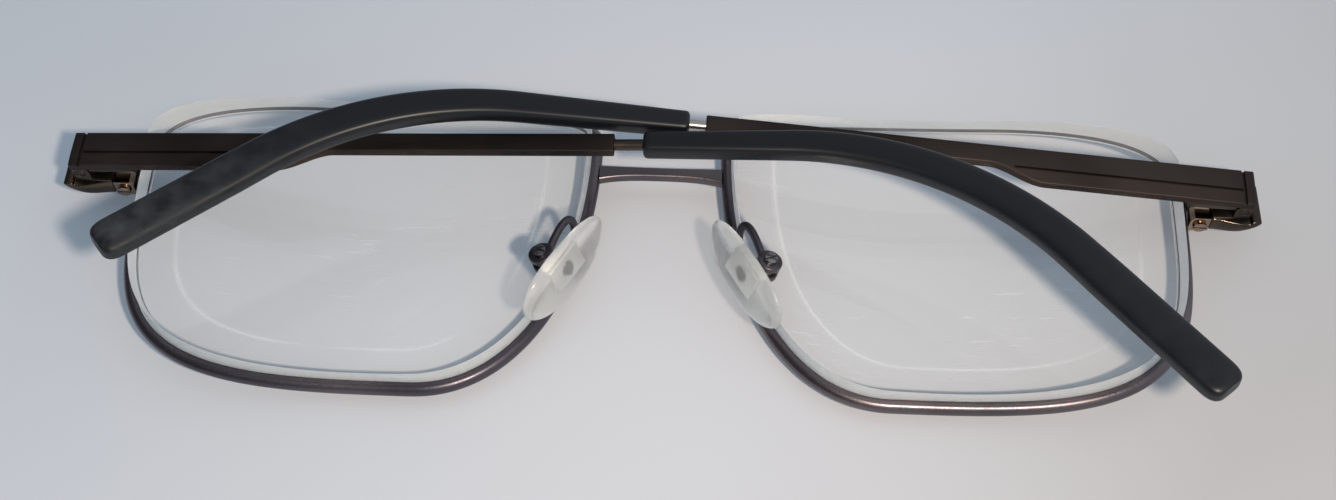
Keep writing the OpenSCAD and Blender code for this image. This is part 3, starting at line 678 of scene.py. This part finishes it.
class MakeRims(bpy.types.Operator):
    """Grooved rim wires, each open at its closing block"""

    bl_idname = "eyeglasses.make_rims"
    bl_label = "Rims"

    groove_lip = 0.15 * MM
    wire_mid = 0.1 * MM
    round_steps = 16

    def execute(self, context):
        """A section is carried along the bevel's line: a V groove inside, and outside half an ellipse,
        m + (w - m) cos(q) across and d / 2 sin(q) deep, for its middle m, reach w and depth d."""
        s = context.scene.eyeglass_front
        eye, out = outline(s)
        half = s.bevel_half + s.bevel_clear
        q = np.linspace(np.pi / 2, -np.pi / 2, self.round_steps)
        arc = np.stack([
            self.wire_mid + (rim_out(s) - self.wire_mid) * np.cos(q), s.rim_d / 2 * np.sin(q)], -1)
        inner = rim_in(s)
        ring = np.concatenate([
            [[inner, -half], [s.bevel_clear, 0], [inner, half], [inner, s.rim_d / 2 - self.groove_lip]],
            arc,
            [[inner, self.groove_lip - s.rim_d / 2]]])
        across = eye[:, None] + out[:, None] * ring[None, :, :1]
        z = bevel_z(s, eye[:, 0], eye[:, 1])[:, None] + ring[None, :, 1]
        rings = np.concatenate([across, z[..., None]], -1) + front_place(s)
        verts, faces = closed_tube(rings)
        for side, sign in SIDES.items():
            solid(f"{side}_rim_wire", mirrored(verts, sign), faces, ["plating"], "front",
                  [f"{side}_rim"])
        return {"FINISHED"}


class MakeLenses(bpy.types.Operator):
    """Meniscus lenses with a ground bevelled edge"""

    bl_idname = "eyeglasses.make_lenses"
    bl_label = "Lenses"

    radial_steps = 16
    middle_share = 0.05

    def execute(self, context):
        """Rings of the outline, times shares from the middle to 1, lie on the front and on the rear surface,
        and three rings over the bevel join them."""
        s = context.scene.eyeglass_front
        eye, out = outline(s)
        edge = eye + out * (rim_in(s) - s.lens_lip)
        shares = np.linspace(self.middle_share, 1, self.radial_steps)[:, None, None]
        flat = shares * edge[None]
        front = np.concatenate([flat, front_z(s, flat[..., 0], flat[..., 1])[..., None]], -1)
        rear = np.concatenate([flat, rear_z(s, flat[..., 0], flat[..., 1])[..., None]], -1)
        ridge_z = bevel_z(s, eye[:, 0], eye[:, 1])
        bevel = np.stack([
            np.column_stack([edge, ridge_z - s.bevel_half]),
            np.column_stack([eye, ridge_z]),
            np.column_stack([edge, ridge_z + s.bevel_half])])
        place = front_place(s)
        rings = np.concatenate([front, bevel, rear[::-1]]) + place
        poles = np.array([[0, 0, front_z(s, 0, 0)], [0, 0, rear_z(s, 0, 0)]]) + place
        verts, faces = closed_tube(rings, poles)
        band = np.repeat(np.arange(len(rings) - 1), OUTLINE_POINTS)
        ground = (band == self.radial_steps - 1) | (band == self.radial_steps + 2)
        index = np.append(ground.astype(int), np.zeros(2 * OUTLINE_POINTS, int))
        # Share of the way out on the rear surface, 0 on the front and 1 on the bevel: the lens material paints its
        # pale reflection ring at one share of it
        reach = np.concatenate([0 * shares.ravel(), np.ones(3), shares.ravel()[::-1]])
        reach = np.append(np.repeat(reach, OUTLINE_POINTS), [0, 0])
        for side, sign in SIDES.items():
            solid(f"{side}_lens_glass", mirrored(verts, sign), faces, ["glass", "glass_edge"], "front",
                  [f"{side}_lens"], index, {"reach": reach})
        return {"FINISHED"}


class MakeBridge(bpy.types.Operator):
    """Bridge bar with an arched lower edge and rounded corners"""

    bl_idname = "eyeglasses.make_bridge"
    bl_label = "Bridge"

    seat = 0.15 * MM
    crown = 0.1 * MM
    corner = 0.42 * MM
    steps = 60

    def execute(self, context):
        """A rounded rectangle is carried from rim to rim, for t from -1 to 1. Its top rises by the crown
        times t^2, and its lower edge falls by the difference of the two heights times |t|^3."""
        s = context.scene.eyeglass_front
        place = front_place(s)
        root = nose_side_x(s, s.bridge_y)
        half = place[0] + root - rim_out(s) + self.seat
        t = np.linspace(-1, 1, self.steps)
        high = s.bridge_h / 2 + self.crown * t ** 2
        low = -s.bridge_h / 2 - (s.bridge_end_h - s.bridge_h) * np.abs(t) ** 3
        middle_z = bevel_z(s, root, s.bridge_y)
        parts = rounded_rings(low, high, -s.bridge_t / 2, s.bridge_t / 2, self.corner)
        ring = np.concatenate(parts, 1)
        rings = np.concatenate([
            np.broadcast_to((t * half)[:, None, None], (*ring.shape[:2], 1)),
            ring + [s.bridge_y + place[1], middle_z]], -1)
        verts, faces = closed_tube(rings)
        solid("bridge_bar", verts, faces, ["plating"], "front", ["bridge"])
        return {"FINISHED"}


class MakeTempleBars(bpy.types.Operator):
    """Temple bars with a stepped lower strip, a long groove and an upright one"""

    bl_idname = "eyeglasses.make_temple_bars"
    bl_label = "Temple bars"

    corner = 0.16 * MM
    strip_fall = 0.14 * MM
    line_share = 0.61
    rise_share = 0.22
    groove_side = 0.05 * MM
    before_groove = 0.6 * MM
    groove_lift = 3.2
    end_steps, level_steps, rise_steps, rest_steps = 5, 40, 50, 40

    def bar_low(self, s, x):
        """Lower edge of the bar: level along the strip, then up along t^2 (3 - 2t)."""
        t = np.clip((x / s.step_len - 1 + self.rise_share) / self.rise_share, 0, 1)
        return s.bar_root_h / 2 + s.bar_off - s.bar_root_h + (s.bar_root_h - s.bar_h) * t * t * (3 - 2 * t)

    def stations(self, s):
        """Places of the rings along the bar, close together where its form changes, and how far each ring is
        drawn in for the rounded ends."""
        turn_in = np.linspace(0, np.pi / 2, self.end_steps)
        start = s.bar_start + self.corner * (1 - np.cos(turn_in))
        groove = s.end_line_at + np.array([-self.groove_side, 0, s.line_w, s.line_w + self.groove_side])
        first = np.array([s.end_line_at - self.before_groove])
        rise_at = s.step_len * (1 - self.rise_share)
        level = np.linspace(s.end_line_at + 2 * s.line_w, rise_at, self.level_steps)
        rise = np.linspace(rise_at, s.step_len, self.rise_steps)[1:]
        rest = np.linspace(s.step_len, s.bar_len - self.corner, self.rest_steps)[1:-1]
        end = s.bar_len - self.corner + self.corner * np.sin(turn_in)
        x = np.concatenate([start, first, groove, level, rise, rest, end])
        inset = np.zeros_like(x)
        inset[:self.end_steps] = self.corner * (1 - np.sin(turn_in))
        inset[-self.end_steps:] = self.corner * (1 - np.cos(turn_in))
        return x, inset

    def execute(self, context):
        """A rounded rectangle with a groove in its far side is carried along the bar. Its lower edge follows
        bar_low, and below the groove its far side falls in evenly towards that edge."""
        for side in SIDES:
            _, s, _ = temple_frame(side)
            x, inset = self.stations(s)
            top = s.bar_root_h / 2 + s.bar_off
            low = self.bar_low(s, x)
            line = top - s.bar_root_h * self.line_share
            room = np.clip((line - s.line_w / 2 - low - 2 * self.corner) / (2 * self.corner), 0, 1)
            started = (x >= s.end_line_at) & (x < s.step_len)
            upright = (x >= s.end_line_at) & (x <= s.end_line_at + s.line_w)
            far = s.pin_in - s.line_d * upright
            strip = np.clip((line - low) / (line - low[0]), 0, 1)
            near = np.full_like(x, s.pin_in - s.bar_t)
            low_far = far - self.strip_fall * strip
            edges = low + inset, top - inset, near + inset
            near_low, far_low, _, _ = rounded_rings(*edges, low_far - inset, self.corner)
            _, _, far_top, near_top = rounded_rings(*edges, far - inset, self.corner)
            depth = s.line_d * room * started * (1 - upright)
            half = s.line_w / 2
            across = np.array([-half - self.groove_side, -half, half, half + self.groove_side])
            floor_of = np.array([0, 1, 1, 0])
            lift = np.maximum(line, low + self.groove_lift * self.corner)
            groove = np.stack([
                lift[:, None] + across,
                (far - inset)[:, None] - depth[:, None] * floor_of], -1)
            ring = np.concatenate([near_low, far_low, groove, far_top, near_top], 1)
            rings = np.concatenate([np.broadcast_to(x[:, None, None], (*ring.shape[:2], 1)), ring], -1)
            verts, faces = closed_tube(folded(side, rings))
            solid(f"{side}_bar", verts, faces, ["bar"], f"{side}_temple",
                  [f"{side}_temple_bar"])
        return {"FINISHED"}


class MakeTips(bpy.types.Operator):
    """Plastic tips, bored for their core wires, and the wires"""

    bl_idname = "eyeglasses.make_tips"
    bl_label = "Tips and core wires"

    section_points = 56
    squareness = 3.6
    round_end = 3 * MM
    end_reach = 0.96
    round_power = 3.6
    thin_share = 0.3
    full_height_at = 0.77
    mouth = 0.55 * MM
    sleeve_clear = 0.05 * MM
    bore_depth = 8 * MM
    core_end = 8 * MM
    bloom_start = 0.58
    end_steps, body_steps, lip_steps = 16, 130, 7
    wire_steps, wire_sides = 110, 24
    bloom_share = {"left": 0.1, "right": 1.0}
    wire_finish = {"left": "core", "right": "steel"}

    def tip_rings(self, s, temple):
        """Rings of a tip from its closed end to its mouth and down the bore, and the bloom of each ring. The
        height grows along the tip, and the end is drawn in as k = (1 - e^p)^(1/p)."""
        start = s.bar_len + temple["neck"]
        angle = np.linspace(np.pi / 2, 0, self.end_steps)[:-1]
        e = self.end_reach * np.sin(angle) ** (2 / self.round_power)
        end = temple["len"] - self.round_end + self.round_end * e
        body = np.linspace(temple["len"] - self.round_end, start + self.mouth, self.body_steps)
        lip = np.linspace(0, np.pi / 2, self.lip_steps)[1:]
        mouth = start + self.mouth * (1 - np.sin(lip))
        along = np.concatenate([end, body, mouth])
        closing = (1 - e ** self.round_power) ** (1 / self.round_power)
        share = np.concatenate([closing, np.ones(len(body) + len(mouth))])
        inset = np.concatenate([np.zeros(len(end) + len(body)), self.mouth * (1 - np.cos(lip))])
        way = (along - start) / (temple["len"] - start)
        grow = (way / self.full_height_at).clip(0, 1)
        height = (s.tip_h0 + (s.tip_h1 - s.tip_h0) * grow) * share - 2 * inset
        thick = s.tip_t * (self.thin_share + (1 - self.thin_share) * share) - 2 * inset
        cos_q, sin_q = superellipse(self.section_points, self.squareness)
        outer = bent(along[:, None], height[:, None] / 2 * sin_q, thick[:, None] / 2 * cos_q, temple, s)
        round_q = (np.arange(self.section_points) + 0.5) * 2 * np.pi / self.section_points
        bore_at = np.array([start, start + self.bore_depth])
        bore_r = s.core_r + self.sleeve_clear
        bore = bent(bore_at[:, None], bore_r * np.sin(round_q), bore_r * np.cos(round_q), temple, s)
        bloom = ((np.append(way, [0, 0]) - self.bloom_start) / (1 - self.bloom_start)).clip(0, 1)
        return np.concatenate([outer, bore]), bloom

    def core_rings(self, s, temple):
        """Circles square to the centre line, from the end of the bar to the wire's end inside the tip."""
        along = np.linspace(s.bar_len, temple["len"] - self.core_end, self.wire_steps)
        q = np.arange(self.wire_sides) * 2 * np.pi / self.wire_sides
        return bent(along[:, None], s.core_r * np.sin(q), s.core_r * np.cos(q), temple, s)

    def execute(self, context):
        for side in SIDES:
            _, s, temple = temple_frame(side)
            rings, bloom = self.tip_rings(s, temple)
            verts, faces = closed_tube(folded(side, rings))
            bloom = np.repeat(bloom * self.bloom_share[side], self.section_points)
            solid(f"{side}_tip_sleeve", verts, faces, ["tip"], f"{side}_temple", [f"{side}_tip"],
                  attributes={"bloom": bloom})
            verts, faces = closed_tube(folded(side, self.core_rings(s, temple)))
            solid(f"{side}_core", verts, faces, [self.wire_finish[side]], f"{side}_temple",
                  [f"{side}_core_wire"])
        return {"FINISHED"}


class MakeNosePads(bpy.types.Operator):
    """Soft clear nose pads"""

    bl_idname = "eyeglasses.make_nose_pads"
    bl_label = "Nose pads"

    sides = 48
    rows = 48
    power = 2.2
    taper = 0.12
    curl = 0.5 * MM
    nose_bulge = 1.1
    back_bulge = 0.8
    end_share = 0.99

    def execute(self, context):
        """Ellipses across the pad, for t from -1 to 1 up along it. Each is scaled by (1 - |t|^p)^(1/2), gets
        narrower towards the top, and is curled back by the curl times t^2."""
        s = context.scene.eyeglass_pads
        t = self.end_share * np.sin(np.linspace(-np.pi / 2, np.pi / 2, self.rows))
        full = np.sqrt(1 - np.abs(t) ** self.power)[:, None]
        q = np.arange(self.sides) * 2 * np.pi / self.sides
        bulge = np.where(np.cos(q) > 0, self.nose_bulge, self.back_bulge)
        t = t[:, None]
        local = np.stack([
            s.pad_out + s.pad_t / 2 * full * np.cos(q) * bulge - self.curl * t ** 2,
            -s.pad_drop + t * s.pad_len / 2 + 0 * q,
            s.pad_w / 2 * full * (1 - self.taper * t) * np.sin(q)], -1)
        for side, sign in SIDES.items():
            verts, faces = closed_tube(on_pad(side, local))
            solid(f"{side}_pad_soft", verts, faces, ["pad"], f"{side}_pad", [f"{side}_nose_pad"])
        return {"FINISHED"}


def on_pad(side, local):
    """Points in the pad's frame, towards the nose, up along the pad and along its screw, at their place in
    the packed frame: splayed about Y, tilted about Z, moved to the pad screw, and mirrored for the right."""
    s = bpy.context.scene.eyeglass_pads
    x, y, z = np.moveaxis(local, -1, 0)
    c, d = np.cos(s.pad_splay), np.sin(s.pad_splay)
    x, z = x * c - z * d, x * d + z * c
    c, d = np.cos(s.pad_tilt), np.sin(s.pad_tilt)
    x, y = x * c + y * d, -x * d + y * c
    screw = np.array(JOINTS["left_pad_rock"]["pos_m"])
    return mirrored(np.stack([x, y, z], -1) + screw, -SIDES[side])


def insert_middle(side):
    """Where the tab leaves the plate inside a pad."""
    s = bpy.context.scene.eyeglass_pads
    return tuple(on_pad(side, np.array([s.pad_out, -s.pad_drop, 0])))


class MakePadArms(bpy.types.Operator):
    """Bent wires between the rims and the pad boxes"""

    bl_idname = "eyeglasses.make_pad_arms"
    bl_label = "Pad arms"

    steps = 48
    sides = 20
    root_in = 0.5 * MM
    root_depth = 0.42
    past_box = 0.3 * MM
    end_in = 0.4 * MM
    to_end = np.array([0.5, 0.6, 0])
    root_pull = np.array([1.1, 2.5, 4.2]) * MM
    end_pull = np.array([2.6, 8, 1.6]) * MM

    def execute(self, context):
        """Circles carried along a cubic Bezier curve, from the wire's root on the rim to the side of its pad
        box: u^3, 3 t u^2, 3 t^2 u and t^3 times its four points, added up, with u = 1 - t."""
        s, f = context.scene.eyeglass_pads, context.scene.eyeglass_front
        place = front_place(f)
        root_x = nose_side_x(f, s.arm_root_y)
        root = np.array([-place[0] - root_x + self.root_in, s.arm_root_y + place[1],
                         bevel_z(f, root_x, s.arm_root_y) + self.root_depth * f.rim_d])
        screw = np.array(JOINTS["left_pad_rock"]["pos_m"])
        end = screw + (self.to_end * (s.box_r + self.past_box) - [self.end_in, 0, 0])
        p = np.array([root, root + self.root_pull, end + self.end_pull, end])
        t = np.linspace(0, 1, self.steps)[:, None]
        u = 1 - t
        line = u ** 3 * p[0] + 3 * t * u ** 2 * p[1] + 3 * t ** 2 * u * p[2] + t ** 3 * p[3]
        way = u ** 2 * (p[1] - p[0]) + 2 * t * u * (p[2] - p[1]) + t ** 2 * (p[3] - p[2])
        way /= np.linalg.norm(way, axis=1)[:, None]
        flat = np.cross(p[1] - p[0], p[3] - p[0])
        a = np.cross(flat, way)
        a /= np.linalg.norm(a, axis=1)[:, None]
        b = np.cross(way, a)
        q = (np.arange(self.sides) * 2 * np.pi / self.sides)[None, :, None]
        rings = line[:, None] + s.arm_r * (np.cos(q) * a[:, None] + np.sin(q) * b[:, None])
        verts, faces = closed_tube(rings)
        for side, sign in SIDES.items():
            solid(f"{side}_arm", mirrored(verts, -sign), faces, ["plating"], "front",
                  [f"{side}_pad_arm"])
        return {"FINISHED"}


class MakeFittings(bpy.types.Operator):
    """End pieces, closing blocks, hinges, pad boxes, inserts and screws, with their edges broken"""

    bl_idname = "eyeglasses.make_fittings"
    bl_label = "Fittings"

    insert_edge = 0.05 * MM
    # Finish, material slot, and width of the broken edges in millimetres
    kinds = {
        "end_piece": ("bronze", "frame_metal", 0.16),
        "block_upper": ("plating", "frame_metal", 0.1),
        "block_lower": ("brass", "frame_metal", 0.1),
        "block_screw": ("brass", "steel", 0.06),
        "hinge_front": ("core", "steel", 0.05),
        "hinge_temple": ("core", "steel", 0.05),
        "hinge_screw": ("core", "steel", 0.06),
        "pad_box": ("plating", "frame_metal", 0.12),
        "pad_screw": ("screw", "steel", 0.08)}

    def execute(self, context):
        for side in SIDES:
            for kind, (finish, slot, edge) in self.kinds.items():
                break_edges(f"{side}_{kind}", finish, edge * MM)
            break_edges(f"{side}_pad_insert", f"{side}_insert", self.insert_edge)
        return {"FINISHED"}


def break_edges(node, finish, width):
    """A merged copy of a CAD node with its flat faces joined and its sharp edges rounded."""
    shell = bmesh.new()
    shell.from_mesh(frame["nodes"][node].data)
    bmesh.ops.remove_doubles(shell, verts=shell.verts, dist=WELD)
    bmesh.ops.dissolve_limit(shell, angle_limit=FLAT, verts=shell.verts, edges=shell.edges)
    mesh = bpy.data.meshes.new(f"{node}_finished")
    shell.to_mesh(mesh)
    shell.free()
    for key in [a.name for a in mesh.attributes if a.name in ("custom_normal", "sharp_face", "sharp_edge")]:
        mesh.attributes.remove(mesh.attributes[key])
    mesh.materials.clear()
    mesh.materials.append(finish_for(finish))
    mesh.polygons.foreach_set("material_index", [0] * len(mesh.polygons))
    mesh.polygons.foreach_set("use_smooth", [True] * len(mesh.polygons))
    piece = bpy.data.objects.new(mesh.name, mesh)
    bpy.context.scene.collection.objects.link(piece)
    bevel = piece.modifiers.new("broken_edges", "BEVEL")
    bevel.width = width
    bevel.segments = 2
    bevel.limit_method = "ANGLE"
    bevel.angle_limit = CURVED_EDGE
    bevel.harden_normals = False
    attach(piece, next(
        body for body, nodes in frame["record"]["behaviour"]["bodies"].items() if node in nodes))
    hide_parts(node)


class MakeStage(bpy.types.Operator):
    """Pale table, a key light beside the camera, light from all round, and the camera"""

    bl_idname = "eyeglasses.make_stage"
    bl_label = "Stage"

    under = -0.07 * MM

    def execute(self, context):
        s = context.scene.eyeglass_stage
        scene = context.scene
        half = s.floor_half
        mesh = bpy.data.meshes.new("table")
        corners = ((-half, -half), (half, -half), (half, half), (-half, half))
        mesh.from_pydata([(x, y, self.under) for x, y in corners], [], [(0, 1, 2, 3)])
        mesh.materials.append(finish_for("table"))
        table = bpy.data.objects.new("table", mesh)
        scene.collection.objects.link(table)
        self.light(scene, s)
        self.camera(scene, s)
        scene.view_settings.view_transform = "Standard"
        return {"FINISHED"}

    def light(self, scene, s):
        """A small near lamp for the key, and a sky that lights evenly and shows the backdrop's colour."""
        key = bpy.data.lights.new("key_light", "POINT")
        key.energy = s.key_power
        key.shadow_soft_size = s.key_size
        key.color = s.key_colour
        lamp = bpy.data.objects.new("key_light", key)
        lamp.location = s.key_at
        lamp.visible_camera = False
        scene.collection.objects.link(lamp)
        world = bpy.data.worlds.new("sky")
        world.use_nodes = True
        tree = world.node_tree
        tree.nodes.clear()
        path = place_node(tree, "LightPath").outputs
        seen = times(tree, path["Is Camera Ray"], path["Is Transmission Ray"], "MAXIMUM")
        way = place_node(tree, "TexCoord").outputs["Generated"]
        across = place_node(tree, "SeparateXYZ", {"Vector": way}).outputs["X"]
        mirrored_room = blend_colours(tree, spread(tree, across, -0.5, 0.3), s.backdrop_dim, s.backdrop)
        lit = blend_colours(tree, seen, s.sky_colour, s.backdrop)
        lit = blend_colours(tree, path["Is Glossy Ray"], lit, mirrored_room)
        shown = place_node(tree, "Background", {"Color": lit})
        place_node(tree, "OutputWorld", {"Surface": shown.outputs[0]})
        scene.world = world

    def camera(self, scene, s):
        """A camera that looks down at its elevation, from its azimuth, rolled about its own axis."""
        e, a, k = s.elevation, s.azimuth, s.roll
        right = np.array([np.cos(a), np.sin(a), 0])
        back = np.array([np.sin(a) * np.cos(e), -np.cos(a) * np.cos(e), np.sin(e)])
        up = np.cross(back, right)
        rolled_right = right * np.cos(k) + up * np.sin(k)
        rolled_up = -right * np.sin(k) + up * np.cos(k)
        data = bpy.data.cameras.new("camera")
        data.sensor_width = 36
        data.sensor_fit = "HORIZONTAL"
        data.lens = s.focal
        data.clip_start = 0.01
        camera = bpy.data.objects.new("camera", data)
        place = np.eye(4)
        place[:3, 0], place[:3, 1], place[:3, 2], place[:3, 3] = rolled_right, rolled_up, back, s.camera_at
        camera.matrix_world = Matrix(place.tolist())
        scene.collection.objects.link(camera)
        scene.camera = camera


OPERATORS = (MakeRims, MakeLenses, MakeBridge, MakeTempleBars, MakeTips, MakeNosePads, MakePadArms,
             MakeFittings, MakeStage)
GROUPS = {"eyeglass_front": FrontSizes, "eyeglass_temples": TempleSizes, "eyeglass_pads": PadSizes,
          "eyeglass_finishes": Finishes, "eyeglass_stage": StageSizes}


class EyeglassesPanel(bpy.types.Panel):
    """Buttons for each group of pieces, with the sizes and colours under them"""

    bl_idname = "VIEW3D_PT_eyeglasses"
    bl_label = "Eyeglasses"
    bl_space_type = "VIEW_3D"
    bl_region_type = "UI"
    bl_category = "Eyeglasses"

    def draw(self, context):
        for operator in OPERATORS:
            self.layout.operator(operator.bl_idname)
        for key, group in GROUPS.items():
            box = self.layout.box()
            box.label(text=group.__doc__)
            for name in group.__annotations__:
                box.prop(getattr(context.scene, key), name)


def register():
    """Registers the property groups, the operators and the panel."""
    for key, group in GROUPS.items():
        bpy.utils.register_class(group)
        setattr(bpy.types.Scene, key, bpy.props.PointerProperty(type=group))
    for cls in (*OPERATORS, EyeglassesPanel):
        bpy.utils.register_class(cls)


def unregister():
    """Takes back what register did."""
    for cls in (*OPERATORS, EyeglassesPanel):
        bpy.utils.unregister_class(cls)
    for key, group in GROUPS.items():
        delattr(bpy.types.Scene, key)
        bpy.utils.unregister_class(group)


def main():
    register()
    for operator in OPERATORS:
        group, name = operator.bl_idname.split(".")
        getattr(getattr(bpy.ops, group), name)()


if __name__ == "__main__":
    main()
